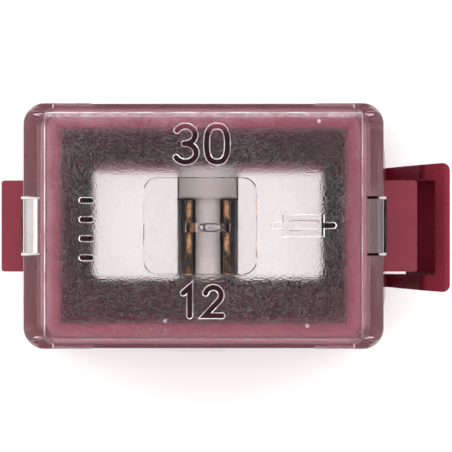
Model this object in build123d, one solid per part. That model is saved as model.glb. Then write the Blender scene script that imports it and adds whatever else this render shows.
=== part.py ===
"""Automotive cartridge fuse: female terminals, a clear clipped cover and a moulded side latch.

X runs along the long side with the latch at +X, Y runs across it, and Z rises from the base
to the cover. The origin is the middle of the base. Lengths are in millimetres, angles in degrees.
Heights hang from the cover's top plate, and the terminals and the latch stand on the base.
"""

from build123d import *
import os

os.makedirs("parts", exist_ok=True)

# ------------------------------------------------------------------ clear cover
cover_length = 23.6           # along X
cover_depth = 16.1            # along Y
cover_corner = 1.4            # plan radius of the four corners
cover_end_wall = 1.1
cover_side_wall = 0.62
cover_plate = 1.2             # thickness of the top plate
plate_top = 32.88             # height of the frosted top face
skirt_height = 9.28           # from the plate's top down to the rim
end_bevel_run = 1.42          # the ends slope down from the plate
end_bevel_drop = 1.6
side_bevel = 0.65             # 45 degree edge along the long sides
cover_edge = 0.12             # rounding of the creases round the top plate
cover_shoulder = 0.3          # rounding where the slopes meet the walls and each other
relief_half = 7.3             # half length of the shallow relief in the long sides
relief_depth = 0.06
lens_length = 7.45            # polished window over the link
lens_depth = 6.4
lens_corner = 0.95
lens_rise = 0.12
lens_edge = 0.08              # bevel round the lens
lens_x = -0.22
gate_start = -3.5             # vestige where the moulding was cut from its runner, along X
gate_flat = -1.2
gate_end = 1.4
gate_rise = 0.2
gate_height = 1.2
gate_drop = 4.88              # below the plate's top
crown_rise = 0.12             # crowned pads on the +X end, either side of the tongue
crown_length = 3.3

# Snap tongues, one at each end
tongue_width = 3.55
tongue_tail = 1.8             # free end below the catch loop
slit_width = 0.18             # cut beside each tongue, through the end wall
slit_land = 0.35              # left between the slits and the top face
hook_reach = 0.6              # barb beyond the outside of the tongue
hook_lip = 0.35               # upright face of the barb
hook_seat = 0.05              # play between the barb and the catch loop
tip_taper = 0.5

# ------------------------------------------------------------------ housing
cover_overhang = 0.2          # the cover's skirt beyond the body, all round
body_corner = 1.2
neck_clearance_x = 0.35       # neck inside the cover
neck_clearance_y = 0.12
neck_corner = 0.9
neck_wall = 1.14
neck_top_gap = 0.18           # under the cover's plate
neck_lip = 0.2                # rounding of the neck's top edge
chamber_corner = 0.5
chamber_floor = 13.0
pocket_floor = 3.2            # the terminals stand here
pocket_clearance = 0.2
base_chamfer = 0.5
panel_depth = 0.45            # recess in each long side
panel_bottom = 2.6
panel_drop = 2.6              # top of the recess, below the ledge
panel_corner = 0.8

# Blade slots in the base
slot_clearance = 0.25
funnel_flare = 0.6            # lead-in round each slot
funnel_depth = 0.8

# Cores that even out the wall from below
core_wall = 1.05
core_width = 1.0
core_height = 11.5
core_inner = 1.6
core_end = 3.0                # from the end faces
middle_core_half = 1.3
middle_core_depth = 9.0
middle_core_height = 8.8
middle_rib = 1.2              # between the two middle cores

# Catch loops at both ends, for the tongues
catch_half = 3.0
catch_height = 3.4
catch_drop = 0.8              # below the ledge
catch_gap = 0.26              # slot face to tongue
catch_reach_left = 13.32      # outer face, from the middle
catch_reach_right = 14.06
catch_gusset = 0.35
catch_edge = 0.2              # rounding of the outer corners
channel_clearance = 0.17      # either side of the tongue
channel_flex = 0.55           # room for the tongue to bend inwards
channel_tail = 0.8            # below the tongue's free end, at +X
rail_width = 0.8              # guide rails under the left loop
rail_reach = 1.1
rail_bottom = 5.0

# Latch
latch_reach = 16.25           # finger pad, from the middle
latch_y = -0.1                # the latch stands slightly towards -Y
latch_drop = 2.4              # top of the finger pad, below the ledge
latch_pad_thickness = 1.9     # along X, at the top
latch_pad_half = 4.3
latch_pad_height = 2.4
latch_half = 3.88             # half width at the body, flaring out to the pad
latch_leg_inner = 3.1         # inner faces of the two legs
latch_web = 0.97              # wall between the legs
latch_root_bottom = 3.4
latch_root_top = 5.6
latch_crotch = 0.55           # gap between leg and body at the root
latch_leg = 1.35              # leg thickness at the root
latch_web_bottom = 8.5
latch_bend = 1.2              # outer rounding of the root
latch_crotch_radius = 0.4
latch_pad_radius = 0.45
latch_corner = 0.5            # plan radius of the finger pad's corners
barb_half = 2.0
barb_top = 13.6               # from the base, to suit the holder
barb_height = 3.2
barb_reach = 0.75

# ------------------------------------------------------------------ fuse element
blade_width = 6.3             # mating blade, along Y
blade_thickness = 0.8         # mating blade, along X
sheet = 0.5                   # copper alloy strip
bend = 0.3                    # inner radius of its bends
element_x = 0.28              # middle of the element, from the middle of the housing
element_y = 0.31
blade_side_play = 0.09
contact_rail = 0.25           # embossed height
contact_rail_width = 1.0
contact_rail_y = 1.9
contact_rail_bottom = 5.5
contact_rail_top = 18.0
spring_room = 1.8             # between blade and outer wall
plate_half_span = 1.0         # inner faces of the upright plates
box_start = 3.6               # inner face of a terminal
link_room = 2.58              # free height between the link and the cover's plate
link_rise = 1.6               # underside of the link above the roofs
jog_drop = 2.8                # roofs above the strip's step towards the middle
roof_play = 0.08              # the roof lies over the wall edges
roof_gap = 0.5                # roof edge to upright plate
roof_corner = 0.5
seam = 0.15
link_width = 0.6
link_y = -0.41                # from the middle of the element
shoulder_drop = 0.1           # plate edges below the link's bend
plate_edge = 1.39             # +Y edge of the plates, from the middle of the element
plate_width = 3.75
plate_foot_width = 5.0
plate_foot_drop = 0.7         # below the roofs

# Tin on the link
tin_length = 1.5
tin_x = 0.15
tin_notch_x = -0.21
tin_notch = 0.08

# Contact springs, one in each terminal
spring_sheet = 0.25
spring_width = 4.8
spring_play = 0.06            # to the wall that it clips on
spring_outer_top = 8.0
spring_inner_top = 18.0
spring_foot = 4.6
spring_pinch = 0.3            # the free gap is this much under the blade
spring_bow_depth = 0.5        # the bow's corner beyond its rounded crest
spring_bow_bend = 8.0
spring_foot_bend = 2.0
spring_groove_play = 0.15

# ------------------------------------------------------------------ insulator
web_clearance = 0.2           # to the upright plates
web_drop = 0.8                # below the roofs
web_half_depth = 3.7
shelf_clearance = 0.06        # to roofs and plates
shelf_height = 3.6            # up to the level of the roofs
foot_half = 2.2
foot_height = 1.2
tenon_half = 2.4
tenon_depth = 2.8
tenon_clearance = 0.1
insulator_edge = 0.25

# Cuts run this far past the faces that they open
cut_margin = 1.0

# ------------------------------------------------------------------ worked out from the above
plate_under = plate_top - cover_plate
ledge_z = plate_top - skirt_height                      # the cover's rim stands here
catch_top = ledge_z - catch_drop
catch_bottom = catch_top - catch_height
tongue_tip = catch_bottom - tongue_tail
panel_top = ledge_z - panel_drop
latch_top = ledge_z - latch_drop
cover_half = cover_length / 2
inner_half_x = cover_half - cover_end_wall
inner_half_y = cover_depth / 2 - cover_side_wall
body_half_x = cover_half - cover_overhang
body_half_y = cover_depth / 2 - cover_overhang
neck_half_x = inner_half_x - neck_clearance_x
neck_half_y = inner_half_y - neck_clearance_y
neck_top = plate_under - neck_top_gap
chamber_half_x = neck_half_x - neck_wall
chamber_half_y = neck_half_y - neck_wall
core_outer = body_half_x - core_end
channel_half = tongue_width / 2 + channel_clearance
channel_floor = inner_half_x - channel_flex
slot_outer = cover_half + catch_gap

box_half_y = blade_width / 2 + blade_side_play + sheet
contact_face = box_start + sheet                        # the wall that faces the blade
blade_x = contact_face + contact_rail + blade_thickness / 2
box_end = contact_face + contact_rail + blade_thickness + spring_room + sheet
roof_start = plate_half_span + sheet + roof_gap
link_top = plate_under - link_room
link_under = link_top - sheet
roof_top = link_under - link_rise
wall_top = roof_top - sheet - roof_play
jog_z = roof_top - jog_drop                             # underside of the step
spring_outer = box_end + spring_play + spring_sheet
pocket_start = box_start - pocket_clearance
pocket_end = spring_outer + pocket_clearance
web_half = plate_half_span - web_clearance


def block(x0, x1, y0, y1, z0, z1):
    """A box between two opposite corners."""
    middle = ((x0 + x1) / 2, (y0 + y1) / 2, (z0 + z1) / 2)
    return Pos(*middle) * Box(abs(x1 - x0), abs(y1 - y0), abs(z1 - z0))


def upright(half_x, half_y, corner, z0, z1):
    """A block on the Z axis with rounded upright corners."""
    return Pos(0, 0, z0) * extrude(RectangleRounded(2 * half_x, 2 * half_y, corner), z1 - z0)


def side_profile(points, half_y):
    """A closed outline of (x, z) points, as thick as half_y each way along Y."""
    return extrude(Plane.XZ * make_face(Polyline(*points, close=True)), half_y, both=True)


def bent_strip(points, bends, thickness, plane, half_width):
    """A bent strip about its middle line, which runs through points in the given plane.

    bends gives the inner radius at each corner. Both faces have mitred corners, and the face on
    the outside of a turn has the inner radius plus the thickness.
    """
    points = [Vector(*point) for point in points]
    steps = [(end - start).normalized() for start, end in zip(points, points[1:])]
    normals = [Vector(-step.Y, step.X) for step in steps]
    faces = []
    for side in (1, -1):
        reach = side * thickness / 2
        corners, radii = [points[0] + normals[0] * reach], []
        for point, before, after, bend_radius in zip(points[1:], normals, normals[1:], bends):
            corners.append(point + (before + after) * (reach / (1 + before.dot(after))))
            inside = side * before.cross(after).Z > 0
            radii.append(bend_radius if inside else bend_radius + thickness)
        corners.append(points[-1] + normals[-1] * reach)
        faces.append(FilletPolyline(*corners, radius=radii))
    left, right = faces
    section = make_face([left, right, Line(left @ 0, right @ 0), Line(left @ 1, right @ 1)])
    return extrude(plane * section, half_width, both=True)


def upright_edges(shape, x=None, y=None, reach=0.01):
    """Edges along Z whose middle stands at the given distance from the axis."""
    picked = shape.edges().filter_by(Axis.Z)
    if x is not None:
        picked = picked.filter_by(lambda edge: abs(edge.center().X - x) < reach)
    if y is not None:
        picked = picked.filter_by(lambda edge: abs(abs(edge.center().Y) - y) < reach)
    return picked


def at_element(shape):
    """Moves a piece from the element's own middle to its place in the housing."""
    return Pos(element_x, element_y, 0) * shape


def both_ends(shape):
    """The shape and its mirror image about the YZ plane."""
    return shape + mirror(shape, about=Plane.YZ)


# ------------------------------------------------------------------ housing

def catch_loop(reach):
    """A loop on the +X end that the tongue drops through and hooks under."""
    loop = block(body_half_x - channel_flex, reach, -catch_half, catch_half,
                 catch_bottom, catch_top)
    return fillet(upright_edges(loop, x=reach), catch_edge)


def tongue_channel(bottom):
    """Room for the tongue and its barb, inside the body and through the loop."""
    return block(channel_floor, slot_outer, -channel_half, channel_half,
                 bottom, ledge_z + cut_margin)


def blade_slot():
    """The slot for one blade, from the funnel in the base to the pocket."""
    half_x = blade_thickness / 2 + slot_clearance
    half_y = blade_width / 2 + slot_clearance
    shaft = upright(half_x, half_y, slot_clearance, -cut_margin, pocket_floor + cut_margin)
    mouth = Rectangle(2 * (half_x + funnel_flare), 2 * (half_y + funnel_flare))
    throat = Pos(0, 0, funnel_depth) * Rectangle(2 * half_x, 2 * half_y)
    return Pos(blade_x, 0, 0) * (shaft + loft([mouth, throat]))


def terminal_pocket():
    """The space for one terminal, its spring's groove and its blade slot."""
    half_y = box_half_y + pocket_clearance
    room = block(pocket_start, pocket_end, -half_y, half_y,
                 pocket_floor, chamber_floor + cut_margin)
    groove_half = spring_width / 2 + pocket_clearance
    groove_start = box_end - sheet - 2 * (spring_play + spring_sheet) - spring_groove_play
    groove_bottom = pocket_floor - spring_play - spring_sheet - spring_groove_play
    groove = block(groove_start, pocket_end, -groove_half, groove_half,
                   groove_bottom, pocket_floor + cut_margin)
    return room + groove + blade_slot()


def base_cores():
    """Slots in the base that keep the walls even."""
    outer_y = body_half_y - panel_depth - core_wall
    cores = []
    for side_y in (-1, 1):
        cores.append(block(-middle_core_half, middle_core_half, side_y * middle_rib / 2,
                           side_y * middle_core_depth / 2, -cut_margin,
                           middle_core_height))
        for side_x in (-1, 1):
            cores.append(block(side_x * core_inner, side_x * core_outer, side_y * outer_y,
                               side_y * (outer_y - core_width), -cut_margin,
                               core_height))
    return cores


def side_panel():
    """The shallow recess in the +Y side."""
    height = panel_top - panel_bottom
    outline = Pos(0, (panel_top + panel_bottom) / 2) * RectangleRounded(
        2 * relief_half, height, panel_corner)
    return Pos(0, body_half_y + cut_margin, 0) * extrude(
        Plane.XZ * outline, cut_margin + panel_depth)


def latch():
    """Two bent legs that carry a finger pad, with a thinner web and a barb between them."""
    pad_inner = latch_reach - latch_pad_thickness
    leg_inner_x = body_half_x + latch_crotch
    leg_outer_x = leg_inner_x + latch_leg
    buried = body_half_x - sheet
    outline = FilletPolyline(
        (buried, latch_root_bottom), (leg_outer_x, latch_root_bottom),
        (latch_reach, latch_top - latch_pad_height), (latch_reach, latch_top),
        (pad_inner, latch_top), (leg_inner_x, latch_root_top), (buried, latch_root_top),
        radius=[latch_bend, latch_pad_radius, latch_crotch_radius, latch_crotch_radius,
                latch_crotch_radius])
    closing = Line((buried, latch_root_top), (buried, latch_root_bottom))
    section = make_face([outline, closing])
    flare = FilletPolyline(
        (buried, -latch_half), (latch_reach, -latch_pad_half), (latch_reach, latch_pad_half),
        (buried, latch_half), radius=latch_corner)
    plan = make_face([flare, Line((buried, latch_half), (buried, -latch_half))])
    lever = extrude(Plane.XZ * section, latch_pad_half, both=True)
    lever &= extrude(plan, latch_top, both=True)

    # The web follows the outer face of the legs, so the pocket follows it too.
    slope = (latch_reach - leg_outer_x) / (latch_top - latch_pad_height - latch_root_bottom)
    web_top_x = latch_reach - latch_web
    pocket = side_profile([
        (body_half_x, latch_top + cut_margin), (web_top_x, latch_top + cut_margin),
        (web_top_x, latch_top - latch_pad_height),
        (web_top_x - slope * (latch_top - latch_pad_height - latch_web_bottom),
         latch_web_bottom),
        (latch_reach, latch_web_bottom), (latch_reach, 0), (body_half_x, 0)],
        latch_leg_inner)

    barb_bottom = barb_top - barb_height
    rise = latch_top - latch_pad_height
    face_top = latch_reach - slope * (rise - barb_top)
    face_bottom = latch_reach - slope * (rise - barb_bottom)
    barb = side_profile([
        (face_top - latch_web / 2, barb_top), (face_top + barb_reach, barb_top),
        (face_bottom, barb_bottom), (face_bottom - latch_web / 2, barb_bottom)], barb_half)
    return Pos(0, latch_y, 0) * (lever - pocket + barb)


def make_housing():
    """The maroon moulding that holds everything."""
    body = upright(body_half_x, body_half_y, body_corner, 0, ledge_z)
    body = chamfer(body.faces().sort_by(Axis.Z)[0].edges(), base_chamfer)
    neck = upright(neck_half_x, neck_half_y, neck_corner, panel_top, neck_top)
    neck = fillet(neck.faces().sort_by(Axis.Z)[-1].edges(), neck_lip)

    shell = body + neck
    shell += catch_loop(catch_reach_right)
    shell += mirror(catch_loop(catch_reach_left), about=Plane.YZ)
    for reach in (catch_reach_right, -catch_reach_left):
        root = upright_edges(shell, x=body_half_x if reach > 0 else -body_half_x, y=catch_half)
        shell = fillet(root, catch_gusset)
    for side in (-1, 1):
        rail_y = side * (catch_half - rail_width)
        shell += block(-body_half_x - rail_reach, channel_flex - body_half_x, rail_y,
                       side * catch_half, rail_bottom, catch_bottom)

    shell -= upright(chamber_half_x, chamber_half_y, chamber_corner, chamber_floor,
                     neck_top + cut_margin)
    shell -= at_element(both_ends(terminal_pocket()))
    shell -= tongue_channel(tongue_tip - channel_tail)
    shell -= mirror(tongue_channel(-cut_margin), about=Plane.YZ)
    mortise_half = web_half + tenon_clearance
    mortise_depth = tenon_half + tenon_clearance
    shell -= at_element(block(
        -mortise_half, mortise_half, -mortise_depth, mortise_depth,
        chamber_floor - tenon_depth - tenon_clearance, chamber_floor + cut_margin))
    shell -= base_cores()
    shell -= side_panel()
    shell -= mirror(side_panel(), about=Plane.XZ)
    return shell + latch()


# ------------------------------------------------------------------ cover

def tongue():
    """The +X snap tongue with its barb, hanging from the end wall."""
    catch_face = catch_bottom - hook_seat
    hook_x = cover_half + hook_reach
    return side_profile([
        (inner_half_x, ledge_z + hook_reach), (inner_half_x, tongue_tip + tip_taper),
        (inner_half_x + tip_taper, tongue_tip), (cover_half - tip_taper / 2, tongue_tip),
        (hook_x, catch_face - hook_lip), (hook_x, catch_face),
        (cover_half, catch_face), (cover_half, ledge_z + hook_reach)], tongue_width / 2)


def crown(side):
    """A shallow arc that stands out of the +X end wall beside the tongue."""
    near = side * (tongue_width / 2 + slit_width)
    far = near + side * crown_length
    ends = (cover_half, near), (cover_half, far)
    arc = ThreePointArc(ends[0], (cover_half + crown_rise, (near + far) / 2), ends[1])
    root = Polyline(ends[1], (inner_half_x, far), (inner_half_x, near), ends[0])
    return Pos(0, 0, ledge_z) * extrude(make_face([arc, root]),
                                        plate_top - end_bevel_drop - ledge_z)


def gate_vestige():
    """The cut stub on the -Y side, which fades out towards -X."""
    face_y = -cover_depth / 2
    root_y = face_y + relief_depth + cover_side_wall / 2
    outline = Polyline(
        (gate_start, face_y), (gate_flat, face_y - gate_rise), (gate_end, face_y - gate_rise),
        (gate_end, root_y), (gate_start, root_y), close=True)
    return Pos(0, 0, plate_top - gate_drop - gate_height / 2) * extrude(
        make_face(outline), gate_height)


def make_cover():
    """The clear moulding: plate, skirt and two tongues."""
    half_y = cover_depth / 2
    skirt = upright(cover_half, half_y, cover_corner, ledge_z, plate_top)
    end_slopes = [
        (-cover_half, ledge_z), (cover_half, ledge_z),
        (cover_half, plate_top - end_bevel_drop), (cover_half - end_bevel_run, plate_top),
        (end_bevel_run - cover_half, plate_top), (-cover_half, plate_top - end_bevel_drop)]
    skirt &= side_profile(end_slopes, half_y)
    side_slopes = Polyline(
        (-half_y, ledge_z), (half_y, ledge_z), (half_y, plate_top - side_bevel),
        (half_y - side_bevel, plate_top), (side_bevel - half_y, plate_top),
        (-half_y, plate_top - side_bevel), close=True)
    skirt &= extrude(Plane.YZ * make_face(side_slopes), cover_half, both=True)
    shoulders = skirt.edges().filter_by(Axis.Z, reverse=True).filter_by(
        lambda edge: ledge_z < edge.center().Z < plate_top - cover_edge)
    skirt = fillet(shoulders, cover_shoulder)
    skirt = fillet(skirt.faces().sort_by(Axis.Z)[-1].edges(), cover_edge)
    for side in (-1, 1):
        skirt -= block(-relief_half, relief_half, side * (half_y - relief_depth),
                       side * (half_y + cut_margin), ledge_z - cut_margin,
                       plate_top + cut_margin)

    skirt -= upright(inner_half_x, inner_half_y, neck_corner, ledge_z - cut_margin, plate_under)
    for side in (-1, 1):
        edge = side * tongue_width / 2
        slit = block(inner_half_x, cover_half + cut_margin, edge,
                     edge + side * slit_width, ledge_z - cut_margin, plate_top - slit_land)
        skirt -= both_ends(slit)
    skirt += both_ends(tongue())
    skirt += [crown(side) for side in (-1, 1)]
    lens = upright(lens_length / 2, lens_depth / 2, lens_corner, plate_top - cover_plate / 2,
                   plate_top + lens_rise)
    skirt += Pos(lens_x, 0, 0) * chamfer(lens.faces().sort_by(Axis.Z)[-1].edges(), lens_edge)
    return skirt + gate_vestige()


# ------------------------------------------------------------------ fuse element

def contact_rails():
    """Two embossed rails that meet the blade, and the grooves behind them."""
    radius = (contact_rail_width ** 2 / 4 + contact_rail ** 2) / (2 * contact_rail)
    height = contact_rail_top - contact_rail_bottom
    middle_z = (contact_rail_top + contact_rail_bottom) / 2
    rails, grooves = [], []
    for side in (-1, 1):
        y = side * contact_rail_y
        rail = Pos(contact_face + contact_rail - radius, y, middle_z) * Cylinder(radius, height)
        rails.append(rail & block(contact_face, box_end, -box_half_y, box_half_y, 0, roof_top))
        grooves.append(Pos(box_start + contact_rail - radius, y, middle_z)
                       * Cylinder(radius, height))
    return rails, grooves


def terminal():
    """The +X box terminal: four walls folded from one sheet, with a roof that stops the blade."""
    outer_length = box_end - box_start
    plan = RectangleRounded(outer_length, 2 * box_half_y, bend + sheet)
    plan -= RectangleRounded(outer_length - 2 * sheet, 2 * (box_half_y - sheet), bend)
    box = Pos((box_start + box_end) / 2, 0, pocket_floor) * extrude(
        plan, wall_top - pocket_floor)
    seam_end = box_end - sheet - bend
    box -= block(seam_end - seam, seam_end, -box_half_y - cut_margin, sheet - box_half_y,
                 0, roof_top)
    box -= block(box_start - cut_margin, box_start + sheet + bend, -box_half_y - cut_margin,
                 box_half_y + cut_margin, jog_z - bend, roof_top)

    wall_y = box_half_y - sheet / 2
    roof_z = roof_top - sheet / 2
    roof = bent_strip([(wall_y, wall_top - bend - sheet), (wall_y, roof_z),
                       (-box_half_y, roof_z)], [bend], sheet, Plane.YZ,
                      (box_end - roof_start) / 2)
    roof = Pos((box_end + roof_start) / 2, 0, 0) * roof
    free_corners = roof.edges().filter_by(Axis.Z).group_by(Axis.Y)[0]
    roof = fillet(free_corners.sort_by(Axis.X)[-1], roof_corner)

    rails, grooves = contact_rails()
    box += rails
    box -= grooves
    return box + roof


def link_strip():
    """The strip that rises from both terminals to the upright plates and the link."""
    half = sheet / 2
    points = [(box_start + half, pocket_floor), (box_start + half, jog_z + half),
              (plate_half_span + half, jog_z + half), (plate_half_span + half, link_under + half)]
    points += [(-x, z) for x, z in reversed(points)]
    strip = bent_strip(points, [bend] * 6, sheet, Plane.XZ, box_half_y)

    def band(width, y_edge, z0, z1):
        """Part of the strip's outline, seen along X."""
        return block(-box_end, box_end, y_edge - width, y_edge, z0, z1)

    plate_end = link_under - bend - shoulder_drop
    outline = band(plate_foot_width, plate_edge, pocket_floor, roof_top - plate_foot_drop)
    outline += band(plate_width, plate_edge, pocket_floor, plate_end)
    outline += band(link_width, link_y + link_width / 2, pocket_floor, link_top)
    return strip & outline


def make_fuse_element():
    """Both terminals and the link, one tin-plated stamping."""
    _, grooves = contact_rails()
    strip = link_strip()
    strip -= grooves
    strip -= [mirror(groove, about=Plane.YZ) for groove in grooves]
    return at_element(strip + both_ends(terminal()))


def make_tin_pellet():
    """A drop of tin that lies along the top of the link."""
    radius = link_width / 2
    half = tin_length / 2 - radius
    drop = Rot(0, 90, 0) * Cylinder(radius, 2 * half)
    drop += [Pos(-half, 0, 0) * Sphere(radius), Pos(half, 0, 0) * Sphere(radius)]
    drop &= block(-tin_length, tin_length, -radius, radius, 0, radius)
    drop = Pos(tin_x, link_y, link_top) * drop
    notch = block(tin_notch_x - tin_notch / 2, tin_notch_x + tin_notch / 2,
                  link_y - radius, link_y + radius, link_top + tin_notch, plate_under)
    return at_element(drop - notch)


def contact_spring():
    """A leaf spring that clips over the lower edge of the +X terminal's outer wall."""
    half = spring_sheet / 2
    outer_x = box_end + spring_play + half
    inner_x = box_end - sheet - spring_play - half
    under = pocket_floor - spring_play - half
    blade_face = contact_face + contact_rail + blade_thickness
    bow_x = blade_face - spring_pinch - spring_bow_depth
    points = [(outer_x, spring_outer_top), (outer_x, under), (inner_x, under),
              (inner_x, spring_foot), (bow_x, (spring_foot + spring_inner_top) / 2),
              (inner_x, spring_inner_top)]
    bends = [spring_play, spring_play, spring_foot_bend, spring_bow_bend]
    return bent_strip(points, bends, spring_sheet, Plane.XZ, spring_width / 2)


# ------------------------------------------------------------------ insulator

def make_insulator():
    """The pale barrier between the terminals: web, shelf, foot and tenon."""
    web = block(-web_half, web_half, -web_half_depth, web_half_depth,
                chamber_floor, roof_top - web_drop)
    shelf = block(shelf_clearance - roof_start, roof_start - shelf_clearance,
                  plate_edge + shelf_clearance, web_half_depth, roof_top - shelf_height, roof_top)
    piece = web + shelf
    piece = fillet(piece.faces().sort_by(Axis.Z)[-1].edges(), insulator_edge)
    piece += block(-foot_half, foot_half, -web_half_depth, web_half_depth,
                   chamber_floor, chamber_floor + foot_height)
    piece += block(-web_half, web_half, -tenon_half, tenon_half,
                   chamber_floor - tenon_depth, chamber_floor)
    return at_element(piece)


pieces = {
    "housing": make_housing(),
    "cover": make_cover(),
    "fuse_element": make_fuse_element(),
    "tin_pellet": make_tin_pellet(),
    "insulator": make_insulator(),
    "contact_spring_right": at_element(contact_spring()),
    "contact_spring_left": at_element(mirror(contact_spring(), about=Plane.YZ)),
}
for name, shape in pieces.items():
    export_step(shape, f"parts/{name}.step")
    print(name, len(shape.solids()), round(shape.volume, 3))
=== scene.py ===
"""Finishes and marks for an automotive cartridge fuse, laid out as a Blender add-on.

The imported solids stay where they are. The clear cover gets raised marks and a spark-textured top,
the tin drop becomes a smooth puddle of metal, and every piece gets a finish worked out from its
own coordinates. Sizes in the property groups are in millimetres, the scene is in metres.
"""

import math
from functools import reduce

import bmesh
import bpy
import numpy as np
from bpy.props import (FloatProperty, FloatVectorProperty, PointerProperty,
                       StringProperty)
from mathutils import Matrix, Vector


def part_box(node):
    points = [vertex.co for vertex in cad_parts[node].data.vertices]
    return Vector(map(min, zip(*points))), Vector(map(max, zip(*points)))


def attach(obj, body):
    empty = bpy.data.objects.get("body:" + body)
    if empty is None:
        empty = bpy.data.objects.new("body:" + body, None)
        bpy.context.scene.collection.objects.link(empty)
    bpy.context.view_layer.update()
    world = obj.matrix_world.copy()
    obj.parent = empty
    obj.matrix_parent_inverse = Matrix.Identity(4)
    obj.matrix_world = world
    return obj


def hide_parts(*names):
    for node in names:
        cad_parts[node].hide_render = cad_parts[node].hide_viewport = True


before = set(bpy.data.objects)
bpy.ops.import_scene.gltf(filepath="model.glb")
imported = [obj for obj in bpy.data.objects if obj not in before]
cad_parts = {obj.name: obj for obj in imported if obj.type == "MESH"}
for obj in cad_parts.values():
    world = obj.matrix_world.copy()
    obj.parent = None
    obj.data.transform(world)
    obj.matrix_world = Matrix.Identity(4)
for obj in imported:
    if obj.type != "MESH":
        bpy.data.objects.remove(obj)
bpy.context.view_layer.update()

bl_info = {
    "name": "Cartridge fuse finishes",
    "version": (1, 0, 0),
    "blender": (4, 5, 0),
    "location": "View3D > Sidebar > Cartridge fuse",
    "description": "Finishes, raised marks and studio for an automotive cartridge fuse",
    "category": "Object",
}

MM = 0.001
COVER_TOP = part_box("cover")[1].z / MM
TIN_LOW, TIN_HIGH = (np.array(corner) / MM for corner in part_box("tin_pellet"))
ELEMENT_X = (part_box("fuse_element")[0].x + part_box("fuse_element")[1].x) / 2 / MM
WELD = 0.0005                   # points closer than this are one point, mm

# Middles of the marks on the plate, mm. The heights of the numbers are in CoverMarks.
UPPER_NUMBER_X = -0.13
LOWER_NUMBER_X = -0.16
SYMBOL = (6.54, 0.03)
DOTS = (-7.65, -0.2)
DOT_COUNT, DOT_PITCH = 4, 1.25
PIPS = ((7.55, 6.86), (6.77, -6.54), (-2.52, -6.21))

# Places where a finish changes, in mm along the part's axes. A pair is where a smooth step starts
# and where it ends. Without a sign means the distance from the part's middle, or from the fuse
# element's middle for a place on the element.
LENS_X, LENS_Y = (3.9, 4.1), (3.25, 3.4)            # just outside the lens, without a sign
TONGUE_Y, TONGUE_X = (1.76, 1.79), (10.8, 10.9)     # side and root of a tongue, without a sign
CORNER_X, CORNER_Y = (9.9, 10.7), (6.3, 7.0)        # into a corner of the cover, without a sign
END_X, END_Y = (11.0, 11.5), (1.8, 1.9)             # onto an end wall, past the tongue
HIGHLIGHT_BAND_Y = (6.95, 7.25)                             # onto the band of painted highlight at +Y
SLOPE_Y, WALL_Y = (7.44, 7.5), (7.74, 7.82)         # start and end of the cover's slope at +Y
LOWER_CREASE_Y = (-7.4, -6.9)                       # inwards from the crease at -Y
RIGHT_END_X = (8.5, 9.5)                            # towards the crease at +X
CREST_DROP = (0.07, 0.05)                           # foot of the creases, under the plate
TONGUE_DROP = (1.8, 1.2)                            # root of a tongue with painted light, under the plate
SHADE_DROP = (2.8, 1.4)                              # top of the walls with painted shade, under the plate
CHAMBER_X, CHAMBER_Y = 9.2, 6.2                     # walls of the housing's chamber
CHAMBER_Z = (2.0, 3.0)                              # floor of the chamber
NECK_DROP = (1.56, 1.51)                            # neck's top, under the cover's top
LATCH_X, PAD_X = (11.75, 11.85), (14.1, 14.2)       # start of the latch and of its finger pad
PAD_EDGE_X, PAD_END_Y = (14.6, 16.3), (1.5, 4.0)    # across and along the finger pad
ARM_Y = (3.03, 3.1)                                 # inner faces of the latch's arms
PLATES_X = (1.53, 1.57)                             # outer faces of the upright plates
PLATE_MIDDLE = 1.24                                 # middle of a plate's edge
PLATE_EDGE_Z, LINK_Z = (28.35, 28.5), (28.3, 28.4)  # top of the plates' edges, foot of the link
LINK_END_X = (0.72, 0.86)                           # where the bare link meets a plate
COPPER_ROOT_X = (-0.36, -0.22)                      # end of the link's copper root, with its sign
GUTTER_X, ROOF_X = (1.6, 1.7), (1.93, 1.97)         # gutter between a plate and its roof
GUTTER_Z = (22.0, 23.0)                             # under the gutter
SHELF_Y = (1.8, 1.9)                                # start of the insulator's shelf

# The studio.
FLOOR_DROP = 0.02               # the floor lies this far under the foot, mm
FLOOR_GREYER = (80.0, 300.0)    # distances over which painted shade makes the floor greyer, mm
PANELS = (                      # name, place and size of each soft panel, m
    ("panel_left", (-0.42, 0.10, 0.40), 0.30),
    ("panel_right", (0.42, 0.12, 0.40), 0.30),
    ("panel_back", (0.0, 0.46, 0.42), 0.34),
    ("panel_front", (0.05, -0.46, 0.40), 0.30))


# ---------------------------------------------------------------- sizes and colours

class CoverMarks(bpy.types.PropertyGroup):
    """Sizes of the raised marks on the clear cover, in millimetres."""

    upper_number: StringProperty(
        name="Upper number", description="Plain digits above the lens", default="30")
    lower_number: StringProperty(
        name="Lower number", description="Plain digits below the lens", default="12")
    upper_height: FloatProperty(
        name="Upper height", description="Height of the upper digits, mm", default=2.35, min=0.5)
    lower_height: FloatProperty(
        name="Lower height", description="Height of the lower digits, mm", default=1.85, min=0.5)
    upper_y: FloatProperty(
        name="Upper place", description="Middle of the upper digits along Y, mm", default=5.36)
    lower_y: FloatProperty(
        name="Lower place", description="Middle of the lower digits along Y, mm", default=-4.94)
    stroke: FloatProperty(
        name="Stroke", description="Width of a stroke at its foot, mm", default=0.46, min=0.1)
    rise: FloatProperty(
        name="Rise", description="Height of a stroke above the plate, mm", default=0.09,
        min=0.01, max=0.12)
    shoulder: FloatProperty(
        name="Shoulder", description="Width of a stroke's sloping side, mm", default=0.07,
        min=0.01)
    pip: FloatProperty(
        name="Pip", description="Radius of the small pips on the plate, mm", default=0.12,
        min=0.02)
    rim_play: FloatProperty(
        name="Rim play", description="Air between the rim and the housing's ledge, mm",
        default=0.02, min=0)
    lens_rise: FloatProperty(
        name="Lens rise", description="Height of the lens above the plate, mm", default=0.12)


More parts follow.
